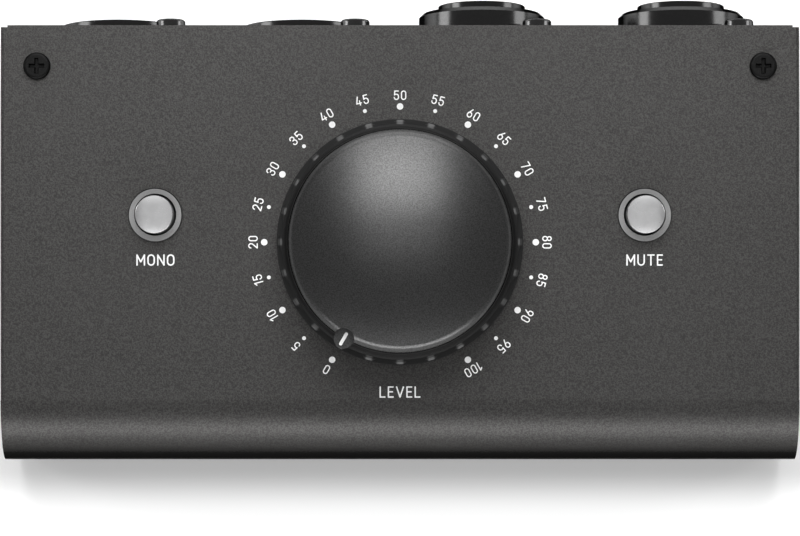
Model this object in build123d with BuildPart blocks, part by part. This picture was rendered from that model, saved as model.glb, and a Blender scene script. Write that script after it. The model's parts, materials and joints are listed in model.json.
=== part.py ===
from build123d import *
import os
from math import cos, radians, sin, sqrt, tan

# ---------------------------------------------------------------- driving dimensions (mm)

# Enclosure. The top slopes down to the front and turns into the front wall in one bend.
body_width = 142.4
panel_length = 77.75         # along the slope, from the rear edge to the front of the bend
panel_slope = 5.0            # degrees
rear_height = 47.0           # floor to the rear edge of the top
sheet = 1.2                  # steel thickness of cover and chassis
front_bend_radius = 11.0
side_bend_radius = 0.6
cover_gap = 0.2              # chassis to cover, each side
flange_gap = 0.3             # side flange to the bent front
front_lip = 9.0              # return lip of the front wall, above the chassis floor
chassis_side_height = 12.0
tab_width = 15.0             # corner tabs that the cover is screwed to
tab_length = 13.0
relief_width = 1.2           # bend relief at the rear corners
relief_length = 0.35

# Feet
feet_height = 2.2
foot_radius = 5.5
foot_edge_fillet = 0.6
foot_inset_side = 13.0
foot_inset_end = 12.0

# Pan head screws
screw_radius = 1.5
screw_hole_clearance = 0.2
thread_clearance = 0.03
screw_head_radius = 2.4
rear_head_radius = 2.6
screw_head_fillet = 0.5
cover_head_height = 1.3
base_head_height = 1.3
rear_head_height = 2.4
board_head_height = 1.6
cross_length = 2.8
cross_width = 0.75
cross_depth = 0.9
cross_taper = 8.0            # degrees
cover_screw_edge = 6.5       # from the side of the cover
cover_screw_inset = 7.3      # along the panel, from the rear edge
base_screw_edge = 21.2       # from the side of the cover
base_screw_length = 5.0
cover_screw_length = 5.5
rear_screw_length = 5.0
board_screw_length = 4.5

# Level knob, in radius and height above the panel
dial_along = 38.7            # rear edge to the dial's centre, along the panel
knob_lift = 1.0
knob_height = 22.3
skirt_radius = 21.9          # round flange under the grip
skirt_height = 0.9
skirt_fillet = 0.1
rib_radius = 21.7
rib_height = 1.6
band_radius = 20.9           # smooth band above and behind the ribs
band_height = 1.1
grip_chamfer = 0.4
wall_top_radius = 19.6
dome_edge_height = 18.2
knob_wall = 2.2
knob_roof = 5.0              # at the middle of the dome
rim_fillet = 2.2
rib_count = 24
scallop_radius = 4.4
scallop_clearance = 0.05     # bottom of a scallop to the band
hub_radius = 7.0
hub_lift = 7.6
notch_gap = 0.2
index_radius = 1.7           # round index boss in the edge of the knob
index_centre = 19.75
index_height = 15.5
index_angle = 210.0          # clockwise from the rear, at the zero mark
pointer_length = 2.55
pointer_width = 0.58
pointer_depth = 0.5
pointer_proud = 0.1

# Potentiometer, four gangs on one shaft
pot_gangs = 4
gang_height = 5.0
gang_wall = 0.8
pot_radius = 8.5
bushing_radius = 4.5
bushing_bore_gap = 0.05
bushing_height = 6.2         # above the panel
bushing_chamfer = 0.4
nut_across_flats = 12.0
nut_height = 2.2
washer_radius = 6.5
washer_height = 0.6
shaft_radius = 3.0
shaft_height = 16.0          # above the panel
shaft_flat = 0.7
insert_radius = 5.0
insert_height = 9.0
insert_gap = 0.03
wiper_radius = 6.2
wiper_height = 1.6
track_radius = 7.2
track_height = 0.8
lug_pitch = 5.0
lug_width = 1.0
lug_thickness = 0.5
pot_board_gap = 1.8          # potentiometer to the main board

# Push buttons
button_edge = 27.6           # from the side of the cover to the button's centre
button_forward = 33.8        # rear edge to the button's centre, along the panel
button_radius = 3.4
button_height = 4.7
button_depth = 6.0
button_crown = 0.62          # rise of the domed end above its edge
button_edge_fillet = 0.2
button_travel = 2.5
bezel_radius = 4.8
bezel_bore_radius = 3.75
bezel_neck_radius = 4.3
bezel_height = 0.8
bezel_edge_fillet = 0.15
bezel_depth = 1.8
bezel_fit = 0.05
plunger_side = 3.0
plunger_gap = 0.06
plunger_engage = 4.0
plunger_foot_side = 5.0
plunger_foot_height = 1.0
switch_side = 8.4
switch_wall = 0.9
switch_base_height = 1.2
switch_chamfer = 0.3
switch_pin_radius = 0.35
switch_pin_pitch = 2.5
spring_wire = 0.4
spring_radius = 1.7
spring_coils = 4
spring_closed_height = 4.4

# Boards
board_thickness = 1.6
board_corner = 1.5
main_board_rear = 27.0       # rear edge of the panel to the board's rear edge
main_board_length = 34.0
main_board_edge = 12.0       # from the side of the cover
rear_board_depth = 20.0      # rear face of the case to the board's rear face
rear_board_edge = 1.4        # inside the chassis flange
rear_board_foot = 6.5        # floor to the board's lower edge
rear_board_headroom = 2.4    # to the underside of the cover
standoff_across_flats = 5.5
standoff_bore_depth = 8.0
standoff_edge = 5.0          # from the ends of the board
standoff_inset = 4.5
header_width = 24.0
header_height = 4.0
header_depth = 5.0
header_along = 48.0
header_side = -24.0
rear_header_height = 9.0     # floor to the middle of the header
ribbon_width = 20.0
ribbon_thickness = 0.9
ribbon_inset = 1.0
ribbon_turn = 85.0           # degrees, where the cable changes direction

# Rear connectors
connector_height = 25.0      # floor to the connectors' axes
connector_shares = (0.198, 0.319, 0.299)   # of the free width, before the first three sockets
flange_width = 26.0
flange_height = 31.0
flange_thickness = 2.4
flange_corner = 3.0
flange_screw_side = 9.75
flange_screw_rise = 12.0
nose_gap = 0.25
connector_back = 18.5        # rear face of the case to the housing's inner end
xlr_nose_radius = 11.0
xlr_nose_length = 2.7
xlr_nose_fillet = 0.2
xlr_cup_radius = 8.1
xlr_cup_depth = 12.0
xlr_key_side = 2.4
xlr_pin_radius = 1.2
xlr_pin_setback = 1.8
xlr_pin_tip_fillet = 0.5
contact_circle = 4.9
contact_angles = (25.0, 155.0, 270.0)
combo_collar_radius = 11.5
combo_collar_length = 5.1
combo_collar_chamfer = 0.7
combo_cup_radius = 9.6
combo_cup_depth = 14.0
combo_body_width = 24.0
combo_body_height = 28.0
combo_insert_radius = 7.95
combo_insert_length = 6.6
combo_insert_fillet = 0.15
combo_foot_radius = 9.55
combo_foot_height = 2.0
jack_bore_radius = 3.25
jack_bore_depth = 12.5
contact_hole_radius = 1.3
contact_hole_depth = 11.0
contact_sleeve_outer = 1.27
contact_sleeve_bore = 1.15
contact_sleeve_floor = 1.0
contact_sleeve_setback = 1.0
tail_radius = 0.45
tail_gap = 0.1
tail_reach = 1.4             # past the board's front face
aux_nose_radius = 2.9
aux_nose_length = 0.6
aux_nose_gap = 0.1
aux_body_width = 8.4
aux_body_height = 11.0
aux_body_gap = 1.03          # to the flange on either side
aux_bore_radius = 1.8
aux_bore_depth = 14.0
aux_tail_pitch = 3.0

# ---------------------------------------------------------------- derived sizes and planes

slope_sin = sin(radians(panel_slope))
slope_cos = cos(radians(panel_slope))
half_width = body_width / 2
inner_half_width = half_width - sheet
chassis_half_width = inner_half_width - cover_gap
flat_length = panel_length - front_bend_radius

# The frame's origin is the middle of the footprint, on the floor.
front_reach = flat_length * slope_cos - front_bend_radius * slope_sin + front_bend_radius
rear_y = (front_reach - combo_insert_length) / 2
floor_top = feet_height + sheet


def panel_plane(across=0.0, along=0.0, above=0.0):
    """Plane parallel to the sloped top: x to the right, y to the rear, z out of the panel."""
    origin = (
        across,
        rear_y - along * slope_cos - above * slope_sin,
        rear_height - along * slope_sin + above * slope_cos,
    )
    return Plane(origin=origin, x_dir=(1, 0, 0), z_dir=(0, -slope_sin, slope_cos))


def panel_section(across, along):
    """Plane through an axis normal to the panel: x is the radius, y the height above it."""
    origin = panel_plane(across, along).origin
    return Plane(origin=origin, x_dir=(1, 0, 0), z_dir=(0, -slope_cos, -slope_sin))


def rear_plane(across, height, out=0.0):
    """Plane on the rear wall, as seen from behind: z points out of the wall."""
    return Plane(origin=(across, rear_y + out, height), x_dir=(-1, 0, 0), z_dir=(0, 1, 0))


def floor_plane(height):
    return Plane.XY.offset(height)


def front_inner_y(height):
    """Inner face of the leaning front wall, at a height above the floor."""
    inner_length = panel_length - sheet
    above = (height - rear_height + inner_length * slope_sin) / slope_cos
    return rear_y - inner_length * slope_cos - above * slope_sin


# Side view of the case: x runs along the panel to the front, y stands on the panel.
case_section = Plane(
    origin=(0, rear_y, rear_height), x_dir=(0, -slope_cos, -slope_sin), z_dir=(-1, 0, 0)
)
wall_drop = rear_height / slope_cos + panel_length * slope_sin
dial_section = panel_section(0, dial_along)
dial_axis = Axis(dial_section.origin, dial_section.y_dir)
main_board_front = main_board_rear + main_board_length
main_board_depth = sheet + pot_gangs * gang_height + pot_board_gap
cover_screw_side = half_width - cover_screw_edge
base_screw_side = half_width - base_screw_edge
button_side = half_width - button_edge
button_sides = {"mono": -button_side, "mute": button_side}

# Connectors along the rear wall. The small jack stands between the two inputs, and what the
# flanges leave free between the chassis flanges is shared out before and after them.
input_pitch = flange_width + aux_body_width + 2 * aux_body_gap
rear_inner_width = 2 * (chassis_half_width - sheet)
free_width = rear_inner_width - 3 * flange_width - input_pitch
gap_before, gap_between, gap_middle = (share * free_width for share in connector_shares)
first_output = (flange_width - rear_inner_width) / 2 + gap_before
second_output = first_output + flange_width + gap_between
first_input = second_output + flange_width + gap_middle
second_input = first_input + input_pitch
output_sides = {"left": first_output, "right": second_output}
input_sides = {"left": first_input, "right": second_input}
aux_side = (first_input + second_input) / 2
screw_hole_radius = screw_radius + screw_hole_clearance
tapped_radius = screw_radius + thread_clearance
connector_sides = (*output_sides.values(), *input_sides.values())
flange_screw_spots = [
    (across + turn * flange_screw_side, connector_height + turn * flange_screw_rise)
    for across in connector_sides
    for turn in (1, -1)
]


def tube(plane, radius, bore_radius, height):
    with BuildPart() as body:
        with BuildSketch(plane):
            Circle(radius)
            Circle(bore_radius, mode=Mode.SUBTRACT)
        extrude(amount=height)
    return body.part


def block(plane, width, length, height):
    with BuildPart() as body:
        with BuildSketch(plane):
            Rectangle(width, length)
        extrude(amount=height)
    return body.part


def pan_screw(seat, shank_length, head_height, head_radius=screw_head_radius):
    """Cross-head screw whose head stands on the seat plane, shank below it."""
    with BuildPart() as screw:
        with BuildSketch(seat):
            Circle(head_radius)
        extrude(amount=head_height)
        fillet(screw.faces().sort_by(Axis(seat.origin, seat.z_dir))[-1].edges(), screw_head_fillet)
        with BuildSketch(seat):
            Circle(screw_radius)
        extrude(amount=-shank_length)
        with BuildSketch(seat.offset(head_height)):
            Rectangle(cross_length, cross_width)
            Rectangle(cross_width, cross_length)
        extrude(amount=-cross_depth, taper=cross_taper, mode=Mode.SUBTRACT)
    return screw.part


def save(piece, name):
    piece.label = name
    export_step(piece, f"parts/{name}.step")


os.makedirs("parts", exist_ok=True)

# ---------------------------------------------------------------- enclosure

inner_bend = front_bend_radius - sheet
flange_bend = inner_bend - flange_gap

with BuildPart() as top_cover:
    # flat top with both side flanges, as a channel along the slope
    with BuildSketch(
        Plane(origin=case_section.origin, x_dir=(1, 0, 0), z_dir=case_section.x_dir)
    ) as channel:
        with Locations((0, -wall_drop / 2)):
            Rectangle(body_width, wall_drop)
        fillet(channel.vertices().group_by(Axis.Y)[-1], side_bend_radius)
        with Locations((0, -wall_drop / 2 - sheet)):
            Rectangle(body_width - 2 * sheet, wall_drop, mode=Mode.SUBTRACT)
    extrude(amount=flat_length)
    # bent front, as wide as the cover
    with BuildSketch(case_section):
        with BuildLine():
            outer_bend = RadiusArc(
                (flat_length, 0), (panel_length, -front_bend_radius), front_bend_radius
            )
            Line(outer_bend @ 1, (panel_length, -wall_drop))
            Line((panel_length, -wall_drop), (panel_length - sheet, -wall_drop))
            Line((panel_length - sheet, -wall_drop), (panel_length - sheet, -front_bend_radius))
            RadiusArc(
                (panel_length - sheet, -front_bend_radius), (flat_length, -sheet), -inner_bend
            )
            Line((flat_length, -sheet), (flat_length, 0))
        make_face()
    extrude(amount=half_width, both=True)
    # front end of each side flange, clear of the bend
    for side in (-1, 1):
        flange_start = side * half_width
        with BuildSketch(
            Plane(
                origin=case_section.origin + Vector(flange_start, 0, 0),
                x_dir=case_section.x_dir,
                z_dir=(-1, 0, 0),
            )
        ):
            with BuildLine():
                flange_arc = RadiusArc(
                    (flat_length, -sheet - flange_gap),
                    (panel_length - sheet - flange_gap, -front_bend_radius),
                    flange_bend,
                )
                Line(flange_arc @ 1, (panel_length - sheet - flange_gap, -wall_drop))
                Line(
                    (panel_length - sheet - flange_gap, -wall_drop), (flat_length, -wall_drop)
                )
                Line((flat_length, -wall_drop), flange_arc @ 0)
            make_face()
        extrude(amount=side * sheet)
    split(bisect_by=floor_plane(feet_height), keep=Keep.TOP)
    split(bisect_by=Plane.XZ.offset(-rear_y), keep=Keep.TOP)
    # return lip behind the foot of the front wall
    lip_front = front_inner_y(floor_top + sheet) - sheet / 2
    lip_rear = front_inner_y(floor_top) + front_lip
    with BuildSketch(floor_plane(floor_top)):
        with Locations((0, (lip_front + lip_rear) / 2)):
            Rectangle(2 * (chassis_half_width - 2 * sheet), lip_rear - lip_front)
    extrude(amount=sheet)
    # openings
    with BuildSketch(panel_plane()):
        with Locations((0, -dial_along)):
            Circle(bushing_radius + bushing_bore_gap)
        with Locations(*[(across, -button_forward) for across in button_sides.values()]):
            Circle(bezel_neck_radius + bezel_fit)
        with Locations(
            (-cover_screw_side, -cover_screw_inset), (cover_screw_side, -cover_screw_inset)
        ):
            Circle(screw_hole_radius)
        with Locations((-half_width, 0), (half_width, 0)):
            Rectangle(2 * relief_width, 2 * relief_length)
    extrude(amount=-2 * sheet, mode=Mode.SUBTRACT)
    base_screw_y = (front_inner_y(floor_top) + lip_rear) / 2
    with BuildSketch(floor_plane(floor_top)):
        with Locations((-base_screw_side, base_screw_y), (base_screw_side, base_screw_y)):
            Circle(tapped_radius)
    extrude(amount=sheet, mode=Mode.SUBTRACT)
save(top_cover.part, "top_cover")

wall_top_outer = rear_height - sheet / slope_cos
wall_top_inner = wall_top_outer - sheet * tan(radians(panel_slope))
floor_front = front_inner_y(feet_height) + cover_gap
floor_length = rear_y - floor_front

with BuildPart() as base_chassis:
    with BuildSketch(floor_plane(feet_height)):
        with Locations((0, (rear_y + floor_front) / 2)):
            Rectangle(2 * chassis_half_width, floor_length)
    extrude(amount=sheet)
    with BuildSketch(Plane.YZ):
        with BuildLine():
            Polyline(
                (rear_y, feet_height),
                (rear_y, wall_top_outer),
                (rear_y - sheet, wall_top_inner),
                (rear_y - sheet, feet_height),
                close=True,
            )
        make_face()
    extrude(amount=chassis_half_width, both=True)
    for side in (-1, 1):
        side_middle = side * (chassis_half_width - sheet / 2)
        with BuildSketch(floor_plane(feet_height)):
            with Locations((side_middle, (rear_y + floor_front) / 2)):
                Rectangle(sheet, floor_length)
        extrude(amount=sheet + chassis_side_height)
    # corner tabs under the cover, bent forward from the rear wall
    tab_middle = chassis_half_width - tab_width / 2
    with BuildSketch(panel_plane(above=-sheet)):
        with Locations(
            (-tab_middle, -tab_length / 2 - sheet / 2), (tab_middle, -tab_length / 2 - sheet / 2)
        ):
            Rectangle(tab_width, tab_length)
    extrude(amount=-sheet)
    with BuildSketch(panel_plane(above=-sheet)):
        with Locations(
            (-cover_screw_side, -cover_screw_inset), (cover_screw_side, -cover_screw_inset)
        ):
            Circle(tapped_radius)
    extrude(amount=-sheet, mode=Mode.SUBTRACT)
    # connector cut-outs
    with BuildSketch(rear_plane(0, 0)):
        with Locations(*[(-across, connector_height) for across in output_sides.values()]):
            Circle(xlr_nose_radius + nose_gap)
        with Locations(*[(-across, connector_height) for across in input_sides.values()]):
            Circle(combo_collar_radius + nose_gap)
        with Locations(*[(-across, height) for across, height in flange_screw_spots]):
            Circle(screw_hole_radius)
        with Locations((-aux_side, connector_height)):
            Circle(aux_nose_radius + aux_nose_gap)
    extrude(amount=-sheet, mode=Mode.SUBTRACT)
    with BuildSketch(floor_plane(feet_height)):
        with Locations((-base_screw_side, base_screw_y), (base_screw_side, base_screw_y)):
            Circle(screw_hole_radius)
    extrude(amount=sheet, mode=Mode.SUBTRACT)
save(base_chassis.part, "base_chassis")

foot_side = half_width - foot_inset_side
foot_rear_y = rear_y - foot_inset_end
foot_front_y = base_screw_y + foot_radius + screw_head_radius + foot_edge_fillet

with BuildPart() as rubber_feet:
    with BuildSketch(floor_plane(0)):
        with Locations(
            *[(side * foot_side, y) for side in (-1, 1) for y in (foot_front_y, foot_rear_y)]
        ):
            Circle(foot_radius)
    extrude(amount=feet_height)
    fillet(rubber_feet.edges().group_by(Axis.Z)[0], foot_edge_fillet)
save(rubber_feet.part, "rubber_feet")

with BuildPart() as cover_screws:
    for side in (-1, 1):
        add(pan_screw(
            panel_plane(side * cover_screw_side, cover_screw_inset),
            cover_screw_length, cover_head_height,
        ))
save(cover_screws.part, "cover_screws")

with BuildPart() as base_screws:
    for side in (-1, 1):
        base_seat = Plane(
            origin=(side * base_screw_side, base_screw_y, feet_height), z_dir=(0, 0, -1)
        )
        add(pan_screw(base_seat, base_screw_length, base_head_height))
save(base_screws.part, "base_screws")

with BuildPart() as connector_screws:
    for across, height in flange_screw_spots:
        add(pan_screw(
            rear_plane(across, height), rear_screw_length, rear_head_height, rear_head_radius,
        ))
save(connector_screws.part, "connector_screws")

# ---------------------------------------------------------------- level knob

dome_drop = knob_height - dome_edge_height
dome_radius = (wall_top_radius**2 + dome_drop**2) / (2 * dome_drop)
dome_mid = (
    wall_top_radius / 2,
    knob_height - dome_radius + sqrt(dome_radius**2 - (wall_top_radius / 2) ** 2),
)
skirt_top = knob_lift + skirt_height
rib_top = skirt_top + rib_height
band_top = rib_top + band_height
cavity_top = knob_height - knob_roof
index_turn = radians(index_angle)
index_spot = (index_centre * sin(index_turn), index_centre * cos(index_turn))
dial_top = panel_plane(0, dial_along)

with BuildPart() as volume_knob:
    with BuildSketch(dial_section) as knob_outline:
        with BuildLine():
            Polyline(
                (0, knob_lift),
                (skirt_radius, knob_lift),
                (skirt_radius, skirt_top),
                (rib_radius, skirt_top),
                (rib_radius, rib_top - grip_chamfer),
                (rib_radius - grip_chamfer, rib_top),
                (band_radius, rib_top),
                (band_radius, band_top - grip_chamfer),
                (band_radius - grip_chamfer, band_top),
                (wall_top_radius, dome_edge_height),
            )
            ThreePointArc((wall_top_radius, dome_edge_height), dome_mid, (0, knob_height))
            Line((0, knob_height), (0, knob_lift))
        make_face()
        rim = knob_outline.vertices().sort_by_distance((wall_top_radius, dome_edge_height))[0]
        fillet(rim, rim_fillet)
        skirt_edge = knob_outline.vertices().sort_by_distance((skirt_radius, skirt_top))[0]
        fillet(skirt_edge, skirt_fillet)
    revolve(axis=dial_axis)
    # scallops between the ribs of the grip
    with BuildSketch(dial_top.offset(skirt_top)):
        with PolarLocations(
            band_radius + scallop_clearance + scallop_radius,
            rib_count,
            start_angle=180 / rib_count,
        ):
            Circle(scallop_radius)
    extrude(amount=rib_height, mode=Mode.SUBTRACT)
    # round index boss in a notch of the edge
    with BuildSketch(dial_top.offset(index_height)):
        with Locations(index_spot):
            Circle(index_radius + notch_gap)
    extrude(amount=knob_height, mode=Mode.SUBTRACT)
    with BuildSketch(dial_top.offset(knob_lift)):
        with Locations(index_spot):
            Circle(index_radius)
    extrude(amount=index_height - knob_lift)
    # hollow underside around the hub
    with BuildSketch(dial_top.offset(knob_lift)):
        Circle(wall_top_radius - knob_wall - index_radius)
    extrude(amount=cavity_top - knob_lift, mode=Mode.SUBTRACT)
    with BuildSketch(dial_top.offset(cavity_top)):
        Circle(hub_radius)
    extrude(amount=hub_lift - cavity_top)
    with BuildSketch(dial_top.offset(hub_lift)):
        Circle(insert_radius + insert_gap)
    extrude(amount=insert_height, mode=Mode.SUBTRACT)
    # seat of the white pointer
    with BuildSketch(dial_top.offset(index_height)):
        with Locations(index_spot):
            SlotOverall(pointer_length, pointer_width, rotation=90 - index_angle)
    extrude(amount=-pointer_depth, mode=Mode.SUBTRACT)
save(volume_knob.part, "volume_knob")

with BuildPart() as knob_pointer:
    with BuildSketch(dial_top.offset(index_height - pointer_depth)):
        with Locations(index_spot):
            SlotOverall(pointer_length, pointer_width, rotation=90 - index_angle)
    extrude(amount=pointer_depth + pointer_proud)
save(knob_pointer.part, "knob_pointer")


def shaft_profile(radius, flat):
    """Round with one flat, for the shaft and for the bore that it drives."""
    with BuildSketch() as profile:
        Circle(radius)
        with Locations((0, radius - flat + radius / 2)):
            Rectangle(2 * radius, radius, mode=Mode.SUBTRACT)
    return profile.sketch


with BuildPart() as knob_insert:
    with BuildSketch(dial_top.offset(hub_lift)):
        Circle(insert_radius)
        add(shaft_profile(shaft_radius + insert_gap, shaft_flat), mode=Mode.SUBTRACT)
    extrude(amount=insert_height - insert_gap)
save(knob_insert.part, "knob_insert")

# ---------------------------------------------------------------- potentiometer

pot_top = -sheet                                  # its face lies on the underside of the cover
pot_bottom = pot_top - pot_gangs * gang_height
chamber_height = gang_height - 2 * gang_wall
lug_spots = [(step * lug_pitch, -pot_radius) for step in (-1, 0, 1)]
gang_tops = [pot_top - gang * gang_height for gang in range(pot_gangs)]

with BuildPart() as pot_housing:
    with BuildSketch(dial_top.offset(pot_top)):
        Circle(pot_radius)
        with Locations((0, -pot_radius / 2)):
            Rectangle(2 * pot_radius, pot_radius)
    extrude(amount=pot_bottom - pot_top)
    for gang_top in gang_tops:
        with BuildSketch(dial_top.offset(gang_top - gang_wall)):
            Circle(track_radius + insert_gap)
        extrude(amount=-chamber_height, mode=Mode.SUBTRACT)
    with BuildSketch(dial_top.offset(pot_top)):
        Circle(shaft_radius + bushing_bore_gap)
    extrude(amount=pot_bottom + gang_wall - pot_top, mode=Mode.SUBTRACT)
save(pot_housing.part, "pot_housing")

with BuildPart() as pot_bushing:
    with BuildSketch(dial_top.offset(pot_top)):
        Circle(bushing_radius)
        Circle(shaft_radius + bushing_bore_gap, mode=Mode.SUBTRACT)
    extrude(amount=bushing_height - pot_top)
    bushing_rim = pot_bushing.faces().sort_by(dial_axis)[-1].edges().sort_by(SortBy.RADIUS)[-1]
    chamfer(bushing_rim, bushing_chamfer)
save(pot_bushing.part, "pot_bushing")

with BuildPart() as pot_washer:
    with BuildSketch(dial_top):
        Circle(washer_radius)
        Circle(bushing_radius + bushing_bore_gap, mode=Mode.SUBTRACT)
    extrude(amount=washer_height)
save(pot_washer.part, "pot_washer")

with BuildPart() as pot_nut:
    with BuildSketch(dial_top.offset(washer_height)):
        RegularPolygon(nut_across_flats / 2, 6, major_radius=False)
        Circle(bushing_radius + bushing_bore_gap, mode=Mode.SUBTRACT)
    extrude(amount=nut_height)
save(pot_nut.part, "pot_nut")

with BuildPart() as pot_shaft:
    with BuildSketch(dial_top.offset(pot_bottom + gang_wall + insert_gap)):
        Circle(shaft_radius)
    extrude(amount=hub_lift - insert_gap - pot_bottom - gang_wall)
    with BuildSketch(dial_top.offset(hub_lift)):
        add(shaft_profile(shaft_radius, shaft_flat))
    extrude(amount=shaft_height - hub_lift)
save(pot_shaft.part, "pot_shaft")

with BuildPart() as pot_wipers:
    for gang_top in gang_tops:
        add(tube(
            dial_top.offset(gang_top - gang_wall - track_height - insert_gap - wiper_height),
            wiper_radius, shaft_radius + insert_gap, wiper_height,
        ))
save(pot_wipers.part, "pot_wipers")

with BuildPart() as pot_tracks:
    for gang_top in gang_tops:
        add(tube(
            dial_top.offset(gang_top - gang_wall - track_height),
            track_radius, shaft_radius + 3 * bushing_bore_gap, track_height,
        ))
save(pot_tracks.part, "pot_tracks")

lug_foot = -main_board_depth - board_thickness - tail_reach
with BuildPart() as pot_lugs:
    for gang, gang_top in enumerate(gang_tops):
        reach = (pot_gangs - gang) * lug_pitch / 2
        for across, back in lug_spots:
            shelf = panel_plane(across, dial_along - back + reach / 2, gang_top - gang_height / 2)
            add(block(shelf, lug_width, reach, lug_thickness))
            leg = panel_plane(
                across, dial_along - back + reach - lug_thickness / 2, lug_foot
            )
            leg_height = gang_top - gang_height / 2 - lug_foot
            add(block(leg, lug_width, lug_thickness, leg_height))
save(pot_lugs.part, "pot_lugs")

# ---------------------------------------------------------------- push buttons

switch_height = (
    switch_base_height + spring_closed_height + button_travel + plunger_foot_height + switch_wall
)
switch_top = switch_height - main_board_depth
foot_top = switch_top - switch_wall
plunger_top = plunger_engage - button_depth
spring_floor = switch_base_height - main_board_depth
spring_height = foot_top - plunger_foot_height - spring_floor
crown_radius = (button_radius**2 + button_crown**2) / (2 * button_crown)

for name, across in button_sides.items():
    spot = panel_plane(across, button_forward)
    spot_axis = Axis(spot.origin, spot.z_dir)

    with BuildPart() as button_cap:
        with BuildSketch(spot.offset(-button_depth)):
            Circle(button_radius)
        extrude(amount=button_depth + button_height + button_crown)
        with Locations(spot.offset(button_height + button_crown - crown_radius)):
            Sphere(crown_radius, mode=Mode.INTERSECT)
        fillet(button_cap.faces().sort_by(spot_axis)[-1].edges(), button_edge_fillet)
        with BuildSketch(spot.offset(-button_depth)):
            Rectangle(plunger_side + plunger_gap, plunger_side + plunger_gap)
        extrude(amount=plunger_engage, mode=Mode.SUBTRACT)
    save(button_cap.part, f"{name}_button")

    with BuildPart() as button_bezel:
        with BuildSketch(spot):
            Circle(bezel_radius)
        extrude(amount=bezel_height)
        fillet(button_bezel.faces().sort_by(spot_axis)[-1].edges(), bezel_edge_fillet)
        with BuildSketch(spot):
            Circle(bezel_neck_radius)
        extrude(amount=-bezel_depth)
        with BuildSketch(spot.offset(-bezel_depth)):
            Circle(bezel_bore_radius)
        extrude(amount=bezel_depth + bezel_height, mode=Mode.SUBTRACT)
    save(button_bezel.part, f"{name}_bezel")

    with BuildPart() as switch_housing:
        with BuildSketch(spot.offset(spring_floor)):
            Rectangle(switch_side, switch_side)
        extrude(amount=switch_top - spring_floor)
        chamfer(switch_housing.faces().sort_by(spot_axis)[-1].edges(), switch_chamfer)
        with BuildSketch(spot.offset(spring_floor)):
            Rectangle(switch_side - 2 * switch_wall, switch_side - 2 * switch_wall)
        extrude(amount=foot_top - spring_floor, mode=Mode.SUBTRACT)
        with BuildSketch(spot.offset(foot_top)):
            Rectangle(plunger_side + 2 * plunger_gap, plunger_side + 2 * plunger_gap)
        extrude(amount=switch_wall, mode=Mode.SUBTRACT)
    save(switch_housing.part, f"{name}_switch_housing")

    with BuildPart() as switch_base:
        with BuildSketch(spot.offset(-main_board_depth)):
            Rectangle(switch_side, switch_side)
        extrude(amount=switch_base_height)
        with BuildSketch(spot.offset(-main_board_depth)):
            with GridLocations(2 * switch_pin_pitch, switch_pin_pitch, 2, 3):
                Circle(switch_pin_radius)
        extrude(amount=-board_thickness - tail_reach)
    save(switch_base.part, f"{name}_switch_base")

    with BuildPart() as plunger:
        with BuildSketch(spot.offset(foot_top - plunger_foot_height)):
            Rectangle(plunger_foot_side, plunger_foot_side)
        extrude(amount=plunger_foot_height)
        with BuildSketch(spot.offset(foot_top)):
            Rectangle(plunger_side, plunger_side)
        extrude(amount=plunger_top - foot_top)
    save(plunger.part, f"{name}_plunger")

    coil_height = spring_height - 2 * spring_wire
    coil_start = spot.offset(spring_floor + spring_wire)
    with BuildPart() as return_spring:
        with BuildLine(coil_start) as coil:
            Helix(coil_height / spring_coils, coil_height, spring_radius)
        with BuildSketch(Plane(origin=coil.line @ 0, z_dir=coil.line % 0)):
            Circle(spring_wire / 2)
        sweep(is_frenet=True)
    save(return_spring.part, f"{name}_spring")

# ---------------------------------------------------------------- boards and cable

rear_board_outer = rear_y - rear_board_depth
rear_board_inner = rear_board_outer - board_thickness
rear_board_reach = rear_board_depth + board_thickness
rear_board_width = rear_inner_width - 2 * rear_board_edge
rear_board_top = (
    rear_height - rear_board_reach * tan(radians(panel_slope)) - sheet / slope_cos
    - rear_board_headroom
)
rear_board_height = rear_board_top - rear_board_foot
main_board_width = 2 * (half_width - main_board_edge)
standoff_side = main_board_width / 2 - standoff_edge
board_middle = main_board_rear + main_board_length / 2
standoff_spots = [
    (side * standoff_side, -along)
    for side in (-1, 1)
    for along in (main_board_rear + standoff_inset, main_board_front - standoff_inset)
]
tail_hole_radius = tail_radius + tail_gap

with BuildPart() as main_board:
    with BuildSketch(panel_plane(above=-main_board_depth)) as main_outline:
        with Locations((0, -board_middle)):
            Rectangle(main_board_width, main_board_length)
        fillet(main_outline.vertices(), board_corner)
        with Locations(*standoff_spots):
            Circle(screw_hole_radius, mode=Mode.SUBTRACT)
        for across in button_sides.values():
            with Locations((across, -button_forward)):
                with GridLocations(2 * switch_pin_pitch, switch_pin_pitch, 2, 3):
                    Circle(switch_pin_radius + tail_gap, mode=Mode.SUBTRACT)
        for gang in range(pot_gangs):
            reach = (pot_gangs - gang) * lug_pitch / 2
            row = -dial_along - pot_radius - reach + lug_thickness / 2
            with Locations(*[(across, row) for across, back in lug_spots]):
                Rectangle(
                    lug_width + 2 * tail_gap, lug_thickness + 2 * tail_gap, mode=Mode.SUBTRACT
                )
    extrude(amount=-board_thickness)
save(main_board.part, "main_board")

with BuildPart() as board_standoffs:
    with BuildSketch(panel_plane(above=-sheet)):
        with Locations(*standoff_spots):
            RegularPolygon(standoff_across_flats / 2, 6, major_radius=False)
    extrude(amount=sheet - main_board_depth)
    with BuildSketch(panel_plane(above=-main_board_depth)):
        with Locations(*standoff_spots):
            Circle(tapped_radius)
    extrude(amount=standoff_bore_depth, mode=Mode.SUBTRACT)
save(board_standoffs.part, "board_standoffs")

with BuildPart() as board_screws:
    for across, back in standoff_spots:
        under = panel_plane(across, -back, -main_board_depth - board_thickness)
        seat = Plane(origin=under.origin, x_dir=(1, 0, 0), z_dir=-under.z_dir)
        add(pan_screw(seat, board_screw_length + board_thickness, board_head_height))
save(board_screws.part, "board_screws")

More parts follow.
